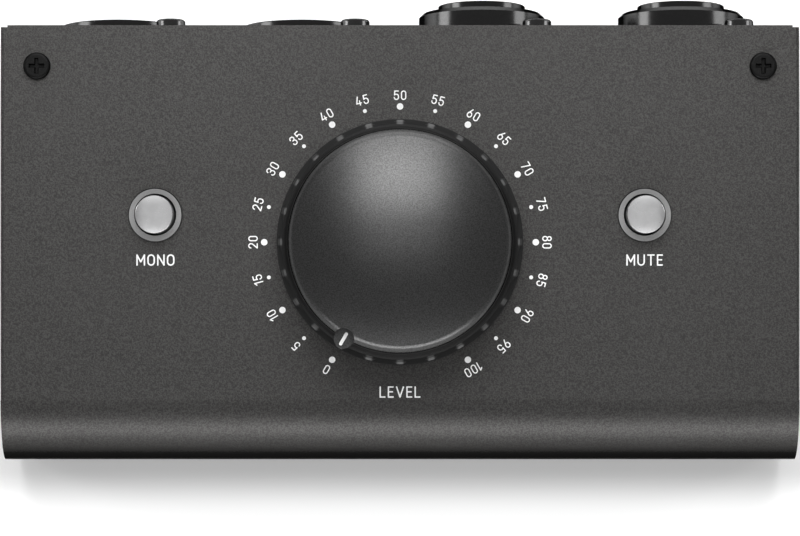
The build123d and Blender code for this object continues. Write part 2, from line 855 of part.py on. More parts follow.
tail_spots = [
    (contact_circle * cos(radians(angle)), contact_circle * sin(radians(angle)))
    for angle in contact_angles
]
spare_spots = [(across, -flange_screw_rise) for across in (-lug_pitch, 0, lug_pitch)]
aux_tail_spots = [(0, step * aux_tail_pitch) for step in (-1, 0, 1)]
board_centre_height = rear_board_foot + rear_board_height / 2

with BuildPart() as rear_board:
    with BuildSketch(rear_plane(0, board_centre_height, -rear_board_depth)) as rear_outline:
        Rectangle(rear_board_width, rear_board_height)
        fillet(rear_outline.vertices(), board_corner)
        for across in connector_sides:
            with Locations((-across, connector_height - board_centre_height)):
                with Locations(*tail_spots):
                    Circle(tail_hole_radius, mode=Mode.SUBTRACT)
        for across in input_sides.values():
            with Locations((-across, connector_height - board_centre_height)):
                with Locations(*spare_spots):
                    Circle(tail_hole_radius, mode=Mode.SUBTRACT)
        with Locations((-aux_side, connector_height - board_centre_height)):
            with Locations(*aux_tail_spots):
                Circle(tail_hole_radius, mode=Mode.SUBTRACT)
    extrude(amount=-board_thickness)
save(rear_board.part, "rear_board")

main_header = panel_plane(header_side, header_along, -main_board_depth - board_thickness)
rear_header = Plane(
    origin=(header_side, rear_board_inner, rear_header_height),
    x_dir=(1, 0, 0), z_dir=(0, -1, 0),
)
slot_width = ribbon_thickness + 2 * tail_gap

with BuildPart() as ribbon_headers:
    with BuildSketch(main_header):
        Rectangle(header_width, header_depth)
    extrude(amount=-header_height)
    with BuildSketch(rear_header):
        Rectangle(header_width, header_depth)
    extrude(amount=header_height)
    with BuildSketch(main_header.offset(-header_height)):
        Rectangle(ribbon_width + 2 * tail_gap, slot_width)
    extrude(amount=ribbon_inset, mode=Mode.SUBTRACT)
    with BuildSketch(rear_header.offset(header_height)):
        Rectangle(ribbon_width + 2 * tail_gap, slot_width)
    extrude(amount=-ribbon_inset, mode=Mode.SUBTRACT)
save(ribbon_headers.part, "ribbon_headers")

ribbon_top = main_header.offset(ribbon_inset - header_height).origin
ribbon_start = rear_header.offset(header_height - ribbon_inset).origin
bend_rise = (ribbon_top.Z - ribbon_start.Z) / slope_cos
ribbon_corner = (ribbon_top.Y + bend_rise * slope_sin, ribbon_start.Z)
shorter_run = min(bend_rise, ribbon_start.Y - ribbon_corner[0])
ribbon_bend = 0.45 * shorter_run / tan(radians(ribbon_turn / 2))

with BuildPart() as ribbon_cable:
    with BuildSketch(Plane(origin=(header_side, 0, 0), x_dir=(0, 1, 0), z_dir=(1, 0, 0))):
        with BuildLine():
            FilletPolyline(
                (ribbon_start.Y, ribbon_start.Z), ribbon_corner, (ribbon_top.Y, ribbon_top.Z),
                radius=ribbon_bend,
            )
        trace(line_width=ribbon_thickness)
    extrude(amount=ribbon_width / 2, both=True)
save(ribbon_cable.part, "ribbon_cable")

# ---------------------------------------------------------------- rear connectors

flange_face = -sheet                 # flanges lie on the inside of the rear wall
housing_depth = connector_back - sheet


def flange(across):
    """Flange behind the rear wall, with its two screw holes."""
    with BuildPart() as plate:
        with BuildSketch(rear_plane(across, connector_height, flange_face)) as outline:
            Rectangle(flange_width, flange_height)
            fillet(outline.vertices(), flange_corner)
        extrude(amount=-flange_thickness)
    return plate.part


def flange_holes(across):
    with BuildPart() as holes:
        with BuildSketch(rear_plane(across, connector_height, flange_face)):
            with Locations(
                (-flange_screw_side, flange_screw_rise), (flange_screw_side, -flange_screw_rise)
            ):
                Circle(tapped_radius)
        extrude(amount=sheet - rear_screw_length - thread_clearance)
    return holes.part


for name, across in output_sides.items():
    nose = rear_plane(across, connector_height, xlr_nose_length)

    with BuildPart() as xlr_housing:
        add(flange(across))
        with BuildSketch(nose):
            Circle(xlr_nose_radius)
        extrude(amount=-xlr_nose_length - connector_back)
        fillet(xlr_housing.faces().sort_by(Axis.Y)[-1].edges(), xlr_nose_fillet)
        with BuildSketch(nose):
            Circle(xlr_cup_radius)
        extrude(amount=-xlr_nose_length - xlr_cup_depth, mode=Mode.SUBTRACT)
        # keyway in the wall of the cup
        with BuildSketch(nose):
            with Locations((0, xlr_cup_radius)):
                Rectangle(xlr_key_side, xlr_key_side)
        extrude(amount=-xlr_nose_length - xlr_cup_depth, mode=Mode.SUBTRACT)
        with BuildSketch(rear_plane(across, connector_height, -xlr_cup_depth)):
            with Locations(*tail_spots):
                Circle(xlr_pin_radius + thread_clearance)
        extrude(amount=xlr_cup_depth - connector_back, mode=Mode.SUBTRACT)
        add(flange_holes(across), mode=Mode.SUBTRACT)
    save(xlr_housing.part, f"xlr_output_{name}_housing")

    with BuildPart() as xlr_pins:
        with BuildSketch(nose.offset(-xlr_pin_setback)):
            with Locations(*tail_spots):
                Circle(xlr_pin_radius)
        extrude(amount=xlr_pin_setback - xlr_nose_length - connector_back)
        tips = xlr_pins.faces().group_by(Axis.Y)[-1].edges()
        fillet(tips, xlr_pin_tip_fillet)
        with BuildSketch(rear_plane(across, connector_height, -connector_back)):
            with Locations(*tail_spots):
                Circle(tail_radius)
        extrude(amount=connector_back - rear_board_depth - board_thickness - tail_reach)
    save(xlr_pins.part, f"xlr_output_{name}_pins")

for name, across in input_sides.items():
    collar = rear_plane(across, connector_height, combo_collar_length)
    insert_nose = rear_plane(across, connector_height, combo_insert_length)
    cup_floor = rear_plane(across, connector_height, -combo_cup_depth)

    with BuildPart() as combo_housing:
        add(flange(across))
        with BuildSketch(collar):
            Circle(combo_collar_radius)
        extrude(amount=-combo_collar_length - sheet)
        chamfer(combo_housing.faces().sort_by(Axis.Y)[-1].edges(), combo_collar_chamfer)
        with BuildSketch(rear_plane(across, connector_height, flange_face)) as back_body:
            Rectangle(combo_body_width, combo_body_height)
            fillet(back_body.vertices(), flange_corner)
        extrude(amount=-housing_depth)
        with BuildSketch(collar):
            Circle(combo_cup_radius)
        extrude(amount=-combo_collar_length - combo_cup_depth, mode=Mode.SUBTRACT)
        with BuildSketch(cup_floor):
            with Locations(*tail_spots):
                Circle(tail_hole_radius)
            with Locations(*spare_spots):
                Circle(tail_hole_radius)
        extrude(amount=combo_cup_depth - connector_back, mode=Mode.SUBTRACT)
        add(flange_holes(across), mode=Mode.SUBTRACT)
    save(combo_housing.part, f"combo_input_{name}_housing")

    with BuildPart() as combo_insert:
        with BuildSketch(insert_nose):
            Circle(combo_insert_radius)
        extrude(amount=-combo_insert_length - combo_cup_depth)
        fillet(combo_insert.faces().sort_by(Axis.Y)[-1].edges(), combo_insert_fillet)
        with BuildSketch(cup_floor):
            Circle(combo_foot_radius)
        extrude(amount=combo_foot_height)
        with BuildSketch(insert_nose):
            Circle(jack_bore_radius)
        extrude(amount=-combo_insert_length - jack_bore_depth, mode=Mode.SUBTRACT)
        with BuildSketch(insert_nose):
            with Locations(*tail_spots):
                Circle(contact_hole_radius)
        extrude(amount=-contact_hole_depth, mode=Mode.SUBTRACT)
        with BuildSketch(cup_floor):
            with Locations(*tail_spots):
                Circle(tail_hole_radius)
        extrude(
            amount=combo_cup_depth + combo_insert_length - contact_hole_depth,
            mode=Mode.SUBTRACT,
        )
    save(combo_insert.part, f"combo_input_{name}_insert")

    sleeve_length = contact_hole_depth - contact_sleeve_setback
    sleeve_foot = insert_nose.offset(-contact_hole_depth)
    with BuildPart() as combo_contacts:
        with BuildSketch(sleeve_foot):
            with Locations(*tail_spots):
                Circle(contact_sleeve_outer)
        extrude(amount=sleeve_length)
        with BuildSketch(sleeve_foot.offset(contact_sleeve_floor)):
            with Locations(*tail_spots):
                Circle(contact_sleeve_bore)
        extrude(amount=sleeve_length - contact_sleeve_floor, mode=Mode.SUBTRACT)
        with BuildSketch(sleeve_foot):
            with Locations(*tail_spots):
                Circle(tail_radius)
        extrude(
            amount=contact_hole_depth - combo_insert_length
            - rear_board_depth - board_thickness - tail_reach
        )
    save(combo_contacts.part, f"combo_input_{name}_contacts")

aux_nose = rear_plane(aux_side, connector_height, aux_nose_length)
with BuildPart() as aux_jack:
    with BuildSketch(rear_plane(aux_side, connector_height, flange_face)):
        Rectangle(aux_body_width, aux_body_height)
    extrude(amount=-housing_depth)
    with BuildSketch(aux_nose):
        Circle(aux_nose_radius)
    extrude(amount=-aux_nose_length - sheet)
    with BuildSketch(aux_nose):
        Circle(aux_bore_radius)
    extrude(amount=-aux_bore_depth, mode=Mode.SUBTRACT)
save(aux_jack.part, "aux_jack")

with BuildPart() as aux_contacts:
    with BuildSketch(rear_plane(aux_side, connector_height, -connector_back)):
        with Locations(*aux_tail_spots):
            Circle(tail_radius)
    extrude(amount=connector_back - rear_board_depth - board_thickness - tail_reach)
save(aux_contacts.part, "aux_contacts")
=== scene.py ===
import json
import math

import bmesh
import bpy
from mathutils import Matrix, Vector
from mathutils.geometry import delaunay_2d_cdt


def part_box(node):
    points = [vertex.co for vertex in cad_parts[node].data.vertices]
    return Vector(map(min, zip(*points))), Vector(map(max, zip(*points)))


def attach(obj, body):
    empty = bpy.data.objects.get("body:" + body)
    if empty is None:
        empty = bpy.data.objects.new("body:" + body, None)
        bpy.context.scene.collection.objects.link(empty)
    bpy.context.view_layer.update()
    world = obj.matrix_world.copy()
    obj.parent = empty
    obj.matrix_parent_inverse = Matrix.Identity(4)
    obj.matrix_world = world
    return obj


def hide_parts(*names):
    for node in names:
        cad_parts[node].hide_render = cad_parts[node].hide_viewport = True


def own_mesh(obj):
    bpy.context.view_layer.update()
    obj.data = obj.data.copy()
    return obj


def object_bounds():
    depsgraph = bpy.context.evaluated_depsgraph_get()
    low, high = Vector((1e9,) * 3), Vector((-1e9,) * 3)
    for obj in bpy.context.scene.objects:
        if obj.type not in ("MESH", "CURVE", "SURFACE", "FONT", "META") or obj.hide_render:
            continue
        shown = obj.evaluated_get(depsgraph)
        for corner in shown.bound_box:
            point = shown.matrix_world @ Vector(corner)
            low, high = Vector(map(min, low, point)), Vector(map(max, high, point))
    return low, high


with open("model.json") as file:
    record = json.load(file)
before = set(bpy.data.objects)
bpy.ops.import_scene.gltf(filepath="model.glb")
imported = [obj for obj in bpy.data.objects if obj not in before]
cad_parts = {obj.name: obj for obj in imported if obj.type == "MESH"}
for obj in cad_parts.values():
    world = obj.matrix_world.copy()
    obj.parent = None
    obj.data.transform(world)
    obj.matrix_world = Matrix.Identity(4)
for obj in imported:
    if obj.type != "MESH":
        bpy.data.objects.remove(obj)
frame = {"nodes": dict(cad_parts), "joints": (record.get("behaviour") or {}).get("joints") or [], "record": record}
cad_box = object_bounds()

MM = 0.001
nodes = frame["nodes"]
joints = {joint["name"]: joint for joint in frame["joints"]}

# ---------------------------------------------------------------- the sloped top

dial_spot = Vector(joints["knob_turn"]["pos_m"])
panel_out = Vector(joints["knob_turn"]["axis"]).normalized()
panel_right = Vector((1, 0, 0))
panel_back = panel_out.cross(panel_right)


def on_panel(across, back, above=0.0):
    """A point by the sloped top, in mm from the middle of the dial."""
    return dial_spot + (panel_right * across + panel_back * back + panel_out * above) * MM


def panel_place(point):
    """Where a point lies on the sloped top: mm to the right, to the back and above."""
    away = (point - dial_spot) / MM
    return away.dot(panel_right), away.dot(panel_back), away.dot(panel_out)


def middle(node):
    low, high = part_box(node)
    return (low + high) / 2


# ---------------------------------------------------------------- materials

class Wire:
    """An output socket of a material. Arithmetic on it adds Math nodes."""

    def __init__(self, finish, socket):
        self.finish = finish
        self.socket = socket

    def math(self, operation, first, second):
        return self.finish.node("ShaderNodeMath", {"operation": operation}, {0: first, 1: second})

    def __add__(self, other):
        return self.math("ADD", self, other)

    def __sub__(self, other):
        return self.math("SUBTRACT", self, other)

    def __mul__(self, other):
        return self.math("MULTIPLY", self, other)

    def __rsub__(self, other):
        return self.math("SUBTRACT", other, self)

    __radd__ = __add__
    __rmul__ = __mul__


class Finish:
    """A procedural material around one Principled shader."""

    def __init__(self, name, constants):
        self.material = bpy.data.materials.new(name)
        self.material.use_nodes = True
        self.tree = self.material.node_tree
        self.shader = self.tree.nodes["Principled BSDF"]
        for socket, value in constants.items():
            self.shader.inputs[socket].default_value = value
        self.here = self.node("ShaderNodeTexCoord", {}, {}, output="Object")

    def node(self, kind, settings, inputs, output=0):
        """Adds a node: its settings first, then the values or wires of its sockets."""
        made = self.tree.nodes.new(kind)
        for setting, value in settings.items():
            if setting == "stops":
                for element, (position, colour) in zip(made.color_ramp.elements, value):
                    element.position = position
                    element.color = colour
            else:
                setattr(made, setting, value)
        for key, value in inputs.items():
            self.feed(made.inputs[key], value)
        return Wire(self, made.outputs[output])

    def feed(self, socket, value):
        if isinstance(value, Wire):
            self.tree.links.new(value.socket, socket)
        else:
            socket.default_value = value

    def noise(self, size, detail=2.0, roughness=0.5, stretch=(1, 1, 1)):
        """Soft noise from 0 to 1 whose lumps are about size mm across."""
        place = self.node(
            "ShaderNodeVectorMath", {"operation": "MULTIPLY"}, {0: self.here, 1: stretch}
        )
        return self.node(
            "ShaderNodeTexNoise", {},
            {"Vector": place, "Scale": 1 / (size * MM), "Detail": detail, "Roughness": roughness},
        )

    def pits(self, size):
        """Distance to scattered points about size mm apart, from 0 up."""
        return self.node(
            "ShaderNodeTexVoronoi", {}, {"Vector": self.here, "Scale": 1 / (size * MM)}
        )

    def mask(self, value, low, high):
        """0 below low, 1 above high, smooth between."""
        return self.node(
            "ShaderNodeMapRange", {"interpolation_type": "SMOOTHSTEP"},
            {"Value": value, "From Min": low, "From Max": high},
        )

    def mix(self, factor, first, second):
        return self.node(
            "ShaderNodeMix", {"data_type": "RGBA"}, {0: factor, 6: first, 7: second}, output=2
        )

    def along(self, direction):
        """Signed distance in metres along a direction, from the origin."""
        return self.node(
            "ShaderNodeVectorMath", {"operation": "DOT_PRODUCT"},
            {0: self.here, 1: tuple(direction)}, output="Value",
        )

    def reach(self, point, axis):
        """Distance in metres from an axis through a point."""
        away = self.node(
            "ShaderNodeVectorMath", {"operation": "SUBTRACT"}, {0: self.here, 1: tuple(point)}
        )
        across = self.node(
            "ShaderNodeVectorMath", {"operation": "CROSS_PRODUCT"}, {0: away, 1: tuple(axis)}
        )
        return self.node(
            "ShaderNodeVectorMath", {"operation": "LENGTH"}, {0: across}, output="Value"
        )

    def above_panel(self):
        """Height in mm above the sloped top."""
        return (self.along(panel_out) - dial_spot.dot(panel_out)) * (1 / MM)

    def paint(self, **wires):
        for socket, value in wires.items():
            self.feed(self.shader.inputs[socket.replace("_", " ")], value)

    def bump(self, height, depth, strength=1.0):
        """Surface relief: height from 0 to 1 stands for depth mm."""
        relief = self.node(
            "ShaderNodeBump", {},
            {"Height": height, "Distance": depth * MM, "Strength": strength}, output="Normal",
        )
        self.feed(self.shader.inputs["Normal"], relief)


def grey(level, warmth=0.0):
    """A linear grey; warmth lifts red and lowers blue."""
    return (level * (1 + warmth), level, level * (1 - warmth), 1)


bend_radius = 11.0         # mm, outside of the cover's front bend
front_shade_rise = (3.0, 9.5)     # mm above the bend's centre, where the painted shade down the front begins
front_shade_depth = (4.0, 8.0)    # mm behind the front face, where that painted shade ends
front_shade_share = 0.3           # how pale the painted shade is against the full coat
cloud_size = 26
tone_spread = 0.28         # how far the grain strays from the coat's grey


def painted_front_shade(finish):
    """Mask of the painted shade on the cover's front, from the lower half of the bend down."""
    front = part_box("top_cover")[0].y
    forward = front + bend_radius * MM
    off_panel = dial_spot.dot(panel_out) - bend_radius * MM
    bend_middle = (off_panel - forward * panel_out.y) / panel_out.z
    above = (finish.along((0, 0, 1)) - bend_middle) * (1 / MM)
    behind = (finish.along((0, 1, 0)) - front) * (1 / MM)
    return (1 - finish.mask(above, *front_shade_rise)) * (1 - finish.mask(behind, *front_shade_depth))


def powder_coat(name, level, warmth, grain, flake, rough):
    """Baked metallic coating: orange peel with darker and paler specks. Its flakes lie flat, so
    its sheen fades at shallow angles, and shade is painted darker down the front."""
    finish = Finish(name, {
        "Metallic": flake, "Specular IOR Level": 0.0, "Specular Tint": grey(0.16),
    })
    peel = finish.noise(grain, detail=3, roughness=0.7)
    specks = finish.noise(grain * 0.5, detail=1)
    cloud = finish.noise(cloud_size)
    tone = finish.mask(specks * 0.5 + peel * 0.5, 0.36, 0.64)
    darkest = grey(level * (1 - tone_spread), warmth)
    palest = grey(level * (1 + tone_spread), warmth)
    base = finish.mix(tone, darkest, palest)
    faded = finish.mix(finish.mask(cloud, 0.35, 0.75) * 0.12, base, grey(level * 1.3, warmth))
    # painted shade: the coat's colour is made darker down the front
    coat = finish.mix(painted_front_shade(finish), faded, grey(level * front_shade_share, warmth))
    finish.paint(Base_Color=coat, Roughness=rough - 0.1 + peel * 0.2 + cloud * 0.04)
    finish.bump(peel * 0.7 + specks * 0.3, 0.03)
    return finish.material


def moulded(name, level, rough, grain, depth, shine=0.5):
    """Moulded plastic: fine spark-eroded grain and faint flow marks."""
    finish = Finish(name, {"Specular IOR Level": shine})
    grains = finish.noise(grain)
    flow = finish.noise(7, stretch=(1, 0.4, 1))
    base = finish.mix(grains, grey(level * 0.85), grey(level * 1.15))
    finish.paint(Base_Color=base, Roughness=rough - 0.04 + grains * 0.05 + flow * 0.05)
    finish.bump(grains, depth)
    return finish.material


ring_shadow_reach = (4.62, 4.7)    # mm from a button's axis, where the painted shadow at the ring's outer edge begins


def button_ring():
    """Satin grey plastic, with a shadow painted black at its outer edge."""
    finish = Finish("satin_grey_ring", {"Specular IOR Level": 0.5})
    grains = finish.noise(0.2)
    flow = finish.noise(7, stretch=(1, 0.4, 1))
    from_mono = finish.reach(middle("mono_bezel"), panel_out)
    from_mute = finish.reach(middle("mute_bezel"), panel_out)
    nearer = finish.node("ShaderNodeMath", {"operation": "MINIMUM"}, {0: from_mono, 1: from_mute})
    # painted shadow: the ring's outer edge is coloured black
    rim_shadow = finish.mask(nearer * (1 / MM), *ring_shadow_reach)
    face = finish.mix(grains, grey(0.23), grey(0.31))
    finish.paint(
        Base_Color=finish.mix(rim_shadow, face, grey(0.005)),
        Roughness=0.46 + grains * 0.05 + flow * 0.05 + rim_shadow * 0.3,
    )
    finish.bump(grains, 0.004)
    return finish.material


def metal(name, colour, rough, scratch, depth=0.002):
    """Plated or bare metal: hairline scratches and slight tarnish."""
    finish = Finish(name, {"Metallic": 1.0})
    hairs = finish.noise(scratch, detail=3, stretch=(0.12, 1, 1))
    haze = finish.noise(1.6, detail=3)
    dull = tuple(value * 0.78 for value in colour)
    base = finish.mix(finish.mask(haze, 0.35, 0.8) * 0.5, (*colour, 1), (*dull, 1))
    finish.paint(Base_Color=base, Roughness=rough + hairs * 0.08 + haze * 0.06)
    finish.bump(hairs, depth)
    return finish.material


def solder_mask():
    """Circuit board: green lacquer over faint copper tracks."""
    finish = Finish("solder_mask", {"Specular IOR Level": 0.5})
    tracks = finish.mask(finish.pits(2.6), 0.34, 0.4)
    weave = finish.noise(0.5)
    base = finish.mix(tracks, (0.015, 0.09, 0.035, 1), (0.03, 0.17, 0.06, 1))
    finish.paint(Base_Color=base, Roughness=0.28 + weave * 0.1)
    finish.bump(tracks * 0.8 + weave * 0.2, 0.03)
    return finish.material


flake_share = 0.9
shade_level = 0.03
shade_flake_loss = 0.6            # less flake where shade is painted
highlight_gain = 1.5        # brighter where highlights are painted
edge_sheen = grey(0.05)    # what is left of the sheen at shallow angles


def black_lacquer(name, sheen, rough, grain, depth, speckle=0.25, light_masks=None):
    """Deep black coating over metal flake: it shines face on and stays black at shallow angles.
    An optional mask maker gives the masks of painted shade and of painted highlights."""
    finish = Finish(name, {
        "Metallic": flake_share, "Specular IOR Level": 0.0, "Specular Tint": edge_sheen,
    })
    grains = finish.noise(grain, roughness=0.6)
    smudge = finish.noise(9)
    base = finish.mix(
        finish.mask(grains, 0.3, 0.7), grey(sheen * (1 - speckle)), grey(sheen * (1 + speckle))
    )
    if light_masks:
        # painted shade darkens the wall and grip; painted highlights brighten the rib ends
        dull, painted_highlight = light_masks(finish)
        highlighted = finish.mix(painted_highlight, base, grey(sheen * highlight_gain))
        base = finish.mix(dull, highlighted, grey(shade_level))
        finish.paint(Metallic=flake_share - dull * shade_flake_loss)
    finish.paint(Base_Color=base, Roughness=rough + grains * 0.05 + smudge * 0.04)
    finish.bump(grains, depth)
    return finish.material


shade_top = 13.6        # mm above the sloped top, where the painted shade on the knob's wall ends
shade_top_blend = 3.0
rib_count = 24
rib_crest = (0.62, 0.96)   # of the wave around the grip: the width of the painted highlight on a rib
rib_foot = (3.0, 3.15)     # mm above the sloped top, where the painted highlight begins
rib_top = (3.55, 3.65)     # and where it ends


def painted_grip_light(finish):
    """Masks of painted shade and painted highlights: the knob's wall and grip are painted darker, but for the ends
    of the ribs, painted brighter as highlights.
    """
    height = finish.above_panel()
    wall = 1 - finish.mask(height, shade_top, shade_top + shade_top_blend)
    to_right = finish.along(panel_right) - dial_spot.dot(panel_right)
    to_back = finish.along(panel_back) - dial_spot.dot(panel_back)
    heading = finish.node("ShaderNodeMath", {"operation": "ARCTAN2"}, {0: to_back, 1: to_right})
    wave = finish.node("ShaderNodeMath", {"operation": "COSINE"}, {0: heading * rib_count})
    level = finish.mask(height, *rib_foot) * (1 - finish.mask(height, *rib_top))
    crest = finish.mask(wave, *rib_crest) * level
    return wall * (1 - crest), crest


def ink():
    """Screen-printed white: slightly uneven, with tiny pinholes."""
    finish = Finish("white_ink", {"Specular IOR Level": 0.4})
    film = finish.noise(0.2)
    holes = finish.mask(finish.noise(0.09, detail=1), 0.24, 0.34)
    base = finish.mix(holes, grey(0.82), grey(0.98))
    finish.paint(Base_Color=base, Roughness=0.5 + film * 0.15)
    finish.bump(film, 0.006)
    return finish.material


materials = {
    "cover_paint": powder_coat("cover_powder_coat", 0.066, 0.02, 0.5, 0.78, 0.44),
    "chassis_paint": powder_coat("chassis_powder_coat", 0.045, 0.0, 0.5, 0.5, 0.45),
    "foot_rubber": moulded("foot_rubber", 0.022, 0.75, 0.3, 0.02, shine=0.3),
    "black_screw": black_lacquer("black_oxide", 0.015, 0.42, 0.12, 0.004),
    "zinc_screw": metal("bright_zinc", (0.6, 0.6, 0.62), 0.28, 0.3),
    # the knob gets painted shade on its wall and painted highlights on its rib ends
    "knob_plastic": black_lacquer("soft_touch_lacquer", 0.08, 0.27, 0.22, 0.011, light_masks=painted_grip_light),
    "pointer_white": ink(),
    "brass": metal("turned_brass", (0.72, 0.55, 0.28), 0.25, 0.2),
    "pot_case": metal("plated_can", (0.5, 0.5, 0.51), 0.34, 0.4),
    "phenolic": moulded("phenolic", 0.06, 0.5, 0.3, 0.01),
    "black_plastic": moulded("black_nylon", 0.022, 0.45, 0.2, 0.006),
    "button_silver": metal("satin_chrome", (0.6, 0.6, 0.605), 0.22, 0.25),
    "bezel_grey": button_ring(),
    "connector_black": black_lacquer("gloss_nylon", 0.085, 0.13, 0.5, 0.002, speckle=0.06),
    "pin_silver": metal("contact_plating", (0.72, 0.71, 0.69), 0.22, 0.2),
    "board_green": solder_mask(),
    "spring_steel": metal("spring_steel", (0.5, 0.5, 0.52), 0.3, 0.15),
    "ribbon_grey": moulded("ribbon_sleeve", 0.35, 0.5, 0.3, 0.006),
    "gloss_screw": black_lacquer("gloss_black_plating", 0.13, 0.14, 0.3, 0.002, speckle=0.1),
}


def dress(obj, slot):
    obj.data.materials.clear()
    obj.data.materials.append(materials[slot])


for part in frame["record"]["subparts"]:
    dress(nodes[part["node"]], part["material_slot"])
dress(nodes["connector_screws"], "gloss_screw")    # plated, unlike the cover's screws

# ---------------------------------------------------------------- pieces


def piece(name, mesh, slot, body="case"):
    """A new piece of the object, which rides on a body."""
    obj = bpy.data.objects.new(name, mesh)
    bpy.context.scene.collection.objects.link(obj)
    dress(obj, slot)
    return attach(obj, body)


# ---------------------------------------------------------------- return springs

wire_radius = 0.2
spring_radius = 1.7
spring_rise = 6.1          # mm between the ends of the wire's middle line
spring_turns = 5
turn_steps = 24
wire_sides = 8
closed_turn = 2.1 * wire_radius    # rise of a turn that lies on its neighbour


def spring_height(turns):
    """How high the wire has climbed: the first and last turns lie closed."""
    open_turn = (spring_rise - 2 * closed_turn) / (spring_turns - 2)
    open_turns = min(max(turns - 1, 0), spring_turns - 2)
    return closed_turn * (turns - open_turns) + open_turn * open_turns


def return_spring(word):
    """A steel coil, in place of the part's spring."""
    centre = middle(f"{word}_spring")
    coil = bmesh.new()
    rings = []
    for step in range(spring_turns * turn_steps + 1):
        turns = step / turn_steps
        angle = 2 * math.pi * turns
        outward = panel_right * math.cos(angle) + panel_back * math.sin(angle)
        height = spring_height(turns) - spring_rise / 2
        ring = []
        for side in range(wire_sides):
            tilt = 2 * math.pi * side / wire_sides
            away = spring_radius + wire_radius * math.cos(tilt)
            up = height + wire_radius * math.sin(tilt)
            ring.append(coil.verts.new(centre + (outward * away + panel_out * up) * MM))
        rings.append(ring)
    for ring, following in zip(rings, rings[1:]):
        for side in range(wire_sides):
            corners = (ring[side - 1], ring[side], following[side], following[side - 1])
            coil.faces.new(corners).smooth = True
    coil.faces.new(rings[0])
    coil.faces.new(rings[-1])
    bmesh.ops.recalc_face_normals(coil, faces=coil.faces)
    name = f"{word}_return_spring"
    mesh = bpy.data.meshes.new(name)
    coil.to_mesh(mesh)
    coil.free()
    spring = piece(name, mesh, "spring_steel")
    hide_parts(f"{word}_spring")
    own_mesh(spring)


return_spring("mono")
return_spring("mute")

# ---------------------------------------------------------------- lettering

ink_height = 0.03          # mm above the paint
ink_seat = 0.004
corner_step = math.radians(12)
end_steps = 8              # around the round end of a stroke
same_place = 1e-5          # mm between points that are one
digit_width = 0.5          # of the height
letter_width = 0.62

half_digit = digit_width / 2
half_letter = letter_width / 2
# Centre lines of the characters, one unit high. A point is x, y and the radius of its corner.
# A stroke that ends where it starts is closed.
strokes = {
    "0": [[(half_digit, 0, 0), (digit_width, 0, half_digit), (digit_width, 1, half_digit),
           (0, 1, half_digit), (0, 0, half_digit), (half_digit, 0, 0)]],
    "1": [[(0.05, 0.78, 0), (0.3, 1, 0), (0.3, 0, 0)]],
    "2": [[(0, 0.76, 0), (0, 1, 0.24), (digit_width, 1, 0.24), (digit_width, 0.62, 0.2),
           (0, 0, 0), (digit_width, 0, 0)]],
    "3": [[(0, 0.8, 0), (0, 1, 0.22), (digit_width, 1, 0.22), (digit_width, 0.54, 0.22),
           (0.18, 0.54, 0)],
          [(0.24, 0.54, 0), (digit_width, 0.54, 0.24), (digit_width, 0, 0.24), (0, 0, 0.24),
           (0, 0.2, 0)]],
    "4": [[(0.26, 1, 0), (0, 0.22, 0), (digit_width + 0.06, 0.22, 0)],
          [(0.4, 0.5, 0), (0.4, 0, 0)]],
    "5": [[(digit_width - 0.03, 1, 0), (0.06, 1, 0), (0.03, 0.54, 0), (0.14, 0.62, 0.08),
           (digit_width, 0.62, 0.26), (digit_width, 0, 0.25), (0, 0, 0.24), (0, 0.2, 0)]],
    "6": [[(half_digit, 0, 0), (digit_width, 0, half_digit), (digit_width, 0.58, half_digit),
           (0, 0.58, half_digit), (0, 0, half_digit), (half_digit, 0, 0)],
          [(0.34, 1, 0), (0.02, 0.38, 0)]],
    "7": [[(0, 1, 0), (digit_width, 1, 0), (0.16, 0, 0)]],
    "8": [[(half_digit, 0, 0), (digit_width, 0, half_digit), (digit_width, 0.54, half_digit),
           (0, 0.54, half_digit), (0, 0, half_digit), (half_digit, 0, 0)],
          [(half_digit, 0.54, 0), (digit_width - 0.03, 0.54, 0.21),
           (digit_width - 0.03, 1, 0.21), (0.03, 1, 0.21), (0.03, 0.54, 0.21),
           (half_digit, 0.54, 0)]],
    "9": [[(half_digit, 1, 0), (0, 1, half_digit), (0, 0.42, half_digit),
           (digit_width, 0.42, half_digit), (digit_width, 1, half_digit), (half_digit, 1, 0)],
          [(0.16, 0, 0), (digit_width - 0.02, 0.62, 0)]],
    "M": [[(0, 0, 0), (0, 1, 0), (0.37, 0.32, 0), (0.74, 1, 0), (0.74, 0, 0)]],
    "O": [[(half_letter, 0, 0), (letter_width, 0, half_letter), (letter_width, 1, half_letter),
           (0, 1, half_letter), (0, 0, half_letter), (half_letter, 0, 0)]],
    "N": [[(0, 0, 0), (0, 1, 0), (letter_width, 0, 0), (letter_width, 1, 0)]],
    "U": [[(0, 1, 0), (0, 0, half_letter), (letter_width, 0, half_letter), (letter_width, 1, 0)]],
    "T": [[(0, 1, 0), (letter_width, 1, 0)], [(half_letter, 1, 0), (half_letter, 0, 0)]],
    "E": [[(0.46, 1, 0), (0, 1, 0), (0, 0, 0), (0.46, 0, 0)], [(0, 0.52, 0), (0.4, 0.52, 0)]],
    "L": [[(0, 1, 0), (0, 0, 0), (0.46, 0, 0)]],
    "V": [[(0, 1, 0), (0.34, 0, 0), (0.68, 1, 0)]],
}


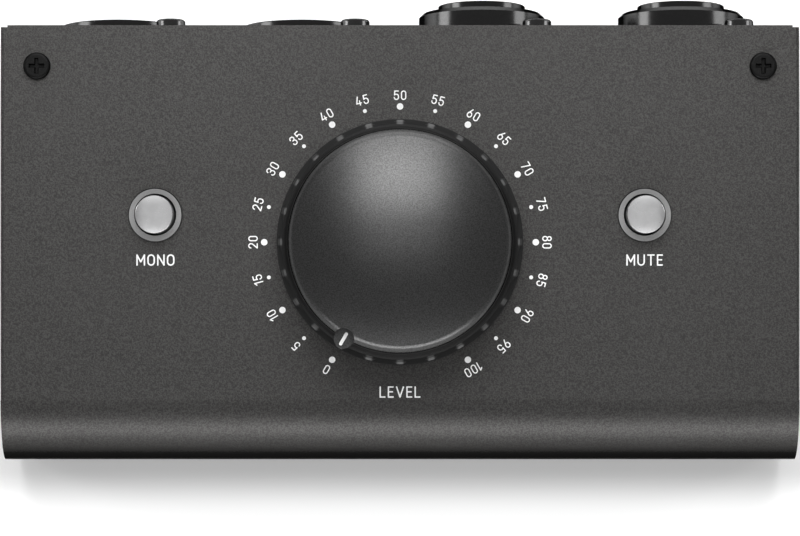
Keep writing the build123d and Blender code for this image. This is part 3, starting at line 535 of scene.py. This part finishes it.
def rounded(stroke):
    """Points along a centre line whose corners are arcs."""
    points = [Vector(stroke[0][:2])]
    for (x0, y0, _), (x1, y1, radius), (x2, y2, _) in zip(stroke, stroke[1:], stroke[2:]):
        corner = Vector((x1, y1))
        if not radius:
            points.append(corner)
            continue
        arriving = (corner - Vector((x0, y0))).normalized()
        leaving = (Vector((x2, y2)) - corner).normalized()
        turn = arriving.angle_signed(leaving)
        start = corner - arriving * radius * math.tan(abs(turn) / 2)
        inward = (leaving - arriving).normalized()
        centre = corner + inward * radius / math.cos(turn / 2)
        steps = max(2, round(abs(turn) / corner_step))
        for step in range(steps + 1):
            points.append(centre + turned(start - centre, -turn * step / steps))
    points.append(Vector(stroke[-1][:2]))
    return points[:1] + [
        point for before, point in zip(points, points[1:]) if (point - before).length > same_place
    ]


def turned(arm, angle):
    """A plane vector turned anticlockwise."""
    return Vector((
        arm.x * math.cos(angle) - arm.y * math.sin(angle),
        arm.x * math.sin(angle) + arm.y * math.cos(angle),
    ))


def capsule(start, end, half):
    """Outline of one straight run of a stroke, with round ends."""
    heading = (end - start).normalized() * half
    outline = []
    for centre, first in ((end, -90), (start, 90)):
        for step in range(end_steps + 1):
            angle = math.radians(first + step * 180 / end_steps)
            outline.append(centre + turned(heading, angle))
    return outline


def circle(centre, radius, steps=40):
    return [
        centre + turned(Vector((radius, 0)), 2 * math.pi * step / steps) for step in range(steps)
    ]


def width_of(character):
    return max(across for stroke in strokes[character] for across, _, _ in stroke)


def word_width(word, gap):
    return sum(width_of(character) for character in word) + gap * (len(word) - 1)


def word_outlines(word, centre, height, weight, gap, turn=0.0):
    """Stroke outlines of each character of a word, its middle on centre, turned clockwise."""
    characters = []
    pen = -word_width(word, gap) / 2
    for character in word:
        outlines = []
        for stroke in strokes[character]:
            line = [
                centre + turned(Vector((point.x + pen, point.y - 0.5)) * height, -turn)
                for point in rounded(stroke)
            ]
            outlines += [capsule(a, b, weight / 2) for a, b in zip(line, line[1:])]
        characters.append(outlines)
        pen += width_of(character) + gap
    return characters


def printed(name, shapes):
    """Ink on the sloped top. Each shape is a list of overlapping outlines, in mm from the dial."""
    film = bmesh.new()
    for outlines in shapes:
        points = [point for outline in outlines for point in outline]
        faces = []
        first = 0
        for outline in outlines:
            faces.append(list(range(first, first + len(outline))))
            first += len(outline)
        flat, _, triangles, _, _, covered = delaunay_2d_cdt(points, [], faces, 1, same_place)
        corners = [film.verts.new(on_panel(p.x, p.y, ink_height)) for p in flat]
        for triangle, sources in zip(triangles, covered):
            if sources:
                film.faces.new([corners[n] for n in triangle])
    loose = [corner for corner in film.verts if not corner.link_faces]
    bmesh.ops.delete(film, geom=loose, context="VERTS")
    lower = bmesh.ops.extrude_face_region(film, geom=film.faces[:])["geom"]
    lower = [item for item in lower if isinstance(item, bmesh.types.BMVert)]
    bmesh.ops.translate(film, verts=lower, vec=-panel_out * (ink_height - ink_seat) * MM)
    bmesh.ops.recalc_face_normals(film, faces=film.faces)
    mesh = bpy.data.meshes.new(name)
    film.to_mesh(mesh)
    film.free()
    return piece(name, mesh, "pointer_white")


scale_radius = 24.2
numeral_radius = 26.2
large_dot = 0.58
small_dot = 0.35
scale_start = 210.0        # degrees clockwise from the back, at the zero mark
scale_step = 15.0
numeral_height = 1.5
numeral_weight = 0.21
numeral_gap = 0.36
label_height = 1.78
label_weight = 0.26
label_gap = 0.36
label_drop = 8.0           # from a button's middle to its label
level_back = -26.7

dots = []
numerals = []
for mark in range(21):
    angle = math.radians(scale_start + scale_step * mark)
    heading = Vector((math.sin(angle), math.cos(angle)))
    dots.append([circle(heading * scale_radius, small_dot if mark % 2 else large_dot)])
    numerals += word_outlines(
        str(5 * mark), heading * numeral_radius, numeral_height, numeral_weight,
        numeral_gap, turn=angle,
    )
printed("scale_dots", dots)
printed("scale_numerals", numerals)
for word in ("mono", "mute"):
    across, back, _ = panel_place(middle(f"{word}_bezel"))
    printed(f"{word}_label", word_outlines(
        word.upper(), Vector((across, back - label_drop)), label_height, label_weight, label_gap,
    ))
printed("level_label", word_outlines(
    "LEVEL", Vector((0, level_back)), label_height, label_weight, label_gap,
))

# ---------------------------------------------------------------- stage, light and camera

floor_size = 12.0
floor_white = 0.93         # as the camera and reflections see it
floor_lift = 0.48          # glow of the paper away from the object; near the object it is left out, which paints a shadow there
lift_blend = 0.009
side_shade = 0.005         # how much further the glow stays away at the sides
back_shade = 0.005         # and how much nearer it comes at the back
floor_bounce = 0.4         # as it lights the object
horizon_level = 0.34
zenith_level = 0.2
sky_blend = (0.1, 0.75)    # height on the unit sphere, from horizon to overhead


def make_floor():
    mesh = bpy.data.meshes.new("floor")
    half = floor_size / 2
    mesh.from_pydata(
        [(-half, -half, 0), (half, -half, 0), (half, half, 0), (-half, half, 0)], [], [(0, 1, 2, 3)]
    )
    floor = bpy.data.objects.new("floor", mesh)
    bpy.context.scene.collection.objects.link(floor)
    finish = Finish("floor_paper", {
        "Roughness": 0.7, "Specular IOR Level": 0.1, "Emission Strength": 1.0,
    })
    seen = sum(
        finish.node("ShaderNodeLightPath", {}, {}, output=kind)
        for kind in ("Is Camera Ray", "Is Glossy Ray", "Is Transmission Ray")
    )
    paper = finish.noise(3)
    white = finish.mix(paper, grey(floor_white * 0.99), grey(floor_white))
    side, back = cad_box[1][0], cad_box[1][1]
    # painted shadow: the glow starts only past these reaches, so the floor stays darker round the object
    reaches = {
        (1, 0, 0): side + side_shade, (-1, 0, 0): side + side_shade,
        (0, -1, 0): back, (0, 1, 0): back - back_shade,
    }
    clear = sum(
        finish.mask(finish.along(way), reach, reach + lift_blend) for way, reach in reaches.items()
    )
    lift = clear * seen
    finish.paint(
        Base_Color=finish.mix(seen, grey(floor_bounce), white),
        Emission_Color=finish.mix(lift, grey(0), grey(floor_lift)),
    )
    floor.data.materials.append(finish.material)


def softbox(name, lean, turn, distance, width, length, radiance):
    """A soft light that faces the dial: it leans from the panel's normal, and turns clockwise
    from the back. A white card lit to the same brightness as its face has radiance 1."""
    lean = math.radians(lean)
    turn = math.radians(turn)
    level = panel_back * math.cos(turn) + panel_right * math.sin(turn)
    direction = panel_out * math.cos(lean) + level * math.sin(lean)
    light = bpy.data.lights.new(name, "AREA")
    light.shape = "RECTANGLE"
    light.size = width
    light.size_y = length
    light.energy = radiance * width * length * math.pi
    lamp = bpy.data.objects.new(name, light)
    lamp.location = dial_spot + direction * distance
    lamp.rotation_euler = direction.to_track_quat("Z", "Y").to_euler()
    lamp.visible_camera = False
    bpy.context.scene.collection.objects.link(lamp)
    return lamp


def flag(lamp, state, names):
    """EXCLUDE keeps a lamp off some pieces, and INCLUDE off all the others."""
    flagged = bpy.data.collections.new(f"{lamp.name}_flag")
    for name in names:
        flagged.objects.link(nodes[name])
    lamp.light_linking.receiver_collection = flagged
    for entry in flagged.collection_objects:
        entry.light_linking.link_state = state


def make_world():
    """A pale studio: light around the horizon, dimmer overhead."""
    world = bpy.data.worlds.new("studio")
    bpy.context.scene.world = world
    world.use_nodes = True
    tree = world.node_tree
    place = tree.nodes.new("ShaderNodeTexCoord")
    parts = tree.nodes.new("ShaderNodeSeparateXYZ")
    height = tree.nodes.new("ShaderNodeMapRange")
    shade = tree.nodes.new("ShaderNodeMix")
    height.interpolation_type = "SMOOTHSTEP"
    height.inputs["From Min"].default_value = sky_blend[0]
    height.inputs["From Max"].default_value = sky_blend[1]
    shade.data_type = "RGBA"
    shade.inputs[6].default_value = grey(horizon_level)
    shade.inputs[7].default_value = grey(zenith_level)
    tree.links.new(place.outputs["Generated"], parts.inputs[0])
    tree.links.new(parts.outputs["Z"], height.inputs["Value"])
    tree.links.new(height.outputs[0], shade.inputs[0])
    tree.links.new(shade.outputs[2], tree.nodes["Background"].inputs["Color"])


def make_camera():
    """Looks along the panel's normal, with the image plane parallel to the sloped top."""
    stand_off = 800.0          # mm above the sloped top
    foot_back = -10.3          # mm from the dial's middle to the point below the lens
    sensor = 36.0
    image_width = 800
    focal_pixels = 4488
    principal_drop = 32        # pixels below the picture's middle
    camera = bpy.data.cameras.new("camera")
    camera.sensor_width = sensor
    camera.lens = sensor * focal_pixels / image_width
    camera.shift_y = principal_drop / image_width
    camera.clip_end = 20
    holder = bpy.data.objects.new("camera", camera)
    holder.location = on_panel(0, foot_back, stand_off)
    holder.rotation_euler = panel_out.to_track_quat("Z", "Y").to_euler()
    bpy.context.scene.collection.objects.link(holder)
    bpy.context.scene.camera = holder


make_floor()
make_world()
sockets = [name for name in nodes if name.startswith(("xlr_", "combo_", "connector_"))]
bezels = ["mono_bezel", "mute_bezel"]
caps = ["mono_button", "mute_button"]
lamps = (
    # name, lean, turn, distance, width, length, radiance, then what it is kept off or for
    ("back_softbox", 31, -1, 0.5, 0.31, 0.26, 5.3, "EXCLUDE", sockets + caps),
    ("rear_softbox", 72, 0, 0.5, 0.6, 0.34, 2.3, "EXCLUDE", sockets + caps + bezels),
    ("top_softbox", 8, 0, 0.8, 0.5, 0.4, 0.9, "EXCLUDE", sockets + caps),
    ("cap_top_card", 0, 0, 0.6, 1.0, 1.0, 0.56, "INCLUDE", caps),
    ("cap_front_card", 51, 180, 0.5, 0.8, 0.2, 2.8, "INCLUDE", caps),
    ("cap_rear_card", 48, 0, 0.5, 0.8, 0.14, 1.7, "INCLUDE", caps),
    ("front_softbox", 61, 180, 0.5, 0.7, 0.13, 7.0, "EXCLUDE", caps),
    ("left_softbox", 77, -72, 0.52, 0.13, 0.2, 4.4, "EXCLUDE", ["volume_knob"]),
    ("right_softbox", 77, 72, 0.52, 0.13, 0.2, 3.4, "EXCLUDE", ["volume_knob"]),
)
for *shape, state, names in lamps:
    flag(softbox(*shape), state, names)
make_camera()
bpy.context.scene.view_settings.view_transform = "Standard"
